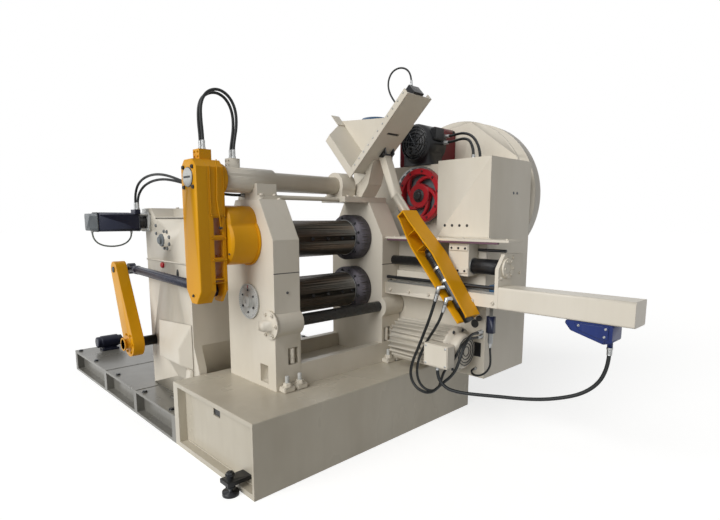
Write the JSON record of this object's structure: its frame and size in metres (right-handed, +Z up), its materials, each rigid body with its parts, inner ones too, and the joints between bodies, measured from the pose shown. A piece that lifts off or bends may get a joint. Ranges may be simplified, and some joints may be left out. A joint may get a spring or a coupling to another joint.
{
  "type": "roll forging machine",
  "caption": "Closed-stand roll forging machine with rocker linkage, feed guideway, inclined chute, drive housing and drum-shaped flywheel cover on a welded base.",
  "frame": {"origin": "on the floor, under the middle of the roll pair", "axes": "+X along the rolls from the operator's end to the drive end, +Y to the back of the machine, +Z up"},
  "size_m": [2.637, 4.823, 2.5561],
  "materials": {
    "bright_steel": "machined and lightly oiled",
    "cream_paint": "semi-gloss warm cream machine enamel",
    "red_paint": "gloss deep red enamel",
    "blue_paint": "gloss blue enamel",
    "navy_paint": "semi-gloss dark navy enamel",
    "dark_metal": "dark grey enamel and black cast metal",
    "yellow_paint": "gloss golden yellow machine enamel",
    "black_rubber": "matt black hose cover",
    "worn_steel": "dark oiled steel with worn streaks"
  },
  "bodies": {
    "frame": {"adjusting_dial": "bright_steel", "base_block": "cream_paint", "belt_guard": "red_paint", "blower_motor": "blue_paint", "chute": "cream_paint", "chute_post": "cream_paint", "clutch_disc": "dark_metal", "drain_valve": "navy_paint", "drive_housing": "cream_paint", "eccentric_cover": "yellow_paint", "feed_arm": "yellow_paint", "feed_beam": "cream_paint", "feed_hose_left": "black_rubber", "feed_hose_right": "black_rubber", "feed_motor": "navy_paint", "flywheel_cover": "cream_paint", "gearbox": "cream_paint", "guide_bar": "bright_steel", "guide_shaft": "bright_steel", "guideway_frame": "cream_paint", "left_housing": "cream_paint", "levelling_foot": "bright_steel", "lift_cylinder": "navy_paint", "magazine": "cream_paint", "main_motor": "dark_metal", "motor_cable_high": "black_rubber", "motor_cable_low": "black_rubber", "motor_hose": "black_rubber", "mount_plate": "cream_paint", "pump_motor": "cream_paint", "rear_base": "cream_paint", "right_housing": "cream_paint", "sensor_box": "dark_metal", "sensor_cable": "black_rubber", "servo_cable": "black_rubber", "servo_flange": "dark_metal", "servo_hose_back": "black_rubber", "servo_hose_front": "black_rubber", "servo_motor": "navy_paint", "stand_tray": "cream_paint", "terminal_box": "cream_paint", "tube_bearing": "cream_paint", "tube_clamp": "cream_paint", "valve_hose": "black_rubber"},
    "upper_roll_body": {"upper_roll": "worn_steel"},
    "lower_roll_body": {"lower_roll": "worn_steel"},
    "clutch_body": {"clutch_wheel": "red_paint"},
    "rocker": {"top_tube": "cream_paint", "front_arm": "yellow_paint", "front_arm_cover": "yellow_paint", "rocker_hose_left": "black_rubber", "rocker_hose_right": "black_rubber"},
    "rod_body": {"connecting_rod": "navy_paint"},
    "rear_arm_body": {"rear_arm": "yellow_paint"},
    "carriage_body": {"carriage": "navy_paint"},
    "piston_rod_body": {"piston_rod": "bright_steel"}
  },
  "joints": [
    {"name": "roll_spin", "type": "hinge", "parent": "frame", "child": "upper_roll_body", "pos_m": [0, 0, 1.41], "axis": [1, 0, 0], "continuous": true},
    {"name": "lower_roll_spin", "type": "hinge", "parent": "frame", "child": "lower_roll_body", "pos_m": [0, 0, 1.01], "axis": [1, 0, 0], "continuous": true},
    {"name": "clutch_spin", "type": "hinge", "parent": "frame", "child": "clutch_body", "pos_m": [0.68, -0.41, 1.725], "axis": [1, 0, 0], "continuous": true},
    {"name": "rocker_swing", "type": "hinge", "parent": "frame", "child": "rocker", "pos_m": [0, 0.01, 1.795], "axis": [1, 0, 0], "range_deg": [-5, 5]},
    {"name": "rod_pivot", "type": "hinge", "parent": "rocker", "child": "rod_body", "pos_m": [-0.846, 0.035, 1.105], "axis": [1, 0, 0], "range_deg": [-7, 7]},
    {"name": "rear_arm_swing", "type": "hinge", "parent": "frame", "child": "rear_arm_body", "pos_m": [-0.944, 1.165, 0.575], "axis": [1, 0, 0], "range_deg": [-7, 7]},
    {"name": "carriage_slide", "type": "slide", "parent": "frame", "child": "carriage_body", "axis": [0, 1, 0], "range_m": [0, 0.3]},
    {"name": "piston_rod_stroke", "type": "slide", "parent": "frame", "child": "piston_rod_body", "axis": [0, -0.619, -0.7854], "range_m": [0, 0.04]}
  ],
  "couplings": [
    {"joint": "lower_roll_spin", "follows": "roll_spin", "ratio": -1},
    {"joint": "rod_pivot", "follows": "rocker_swing", "ratio": -1.23},
    {"joint": "rear_arm_swing", "follows": "rocker_swing", "ratio": -1.235}
  ]
}
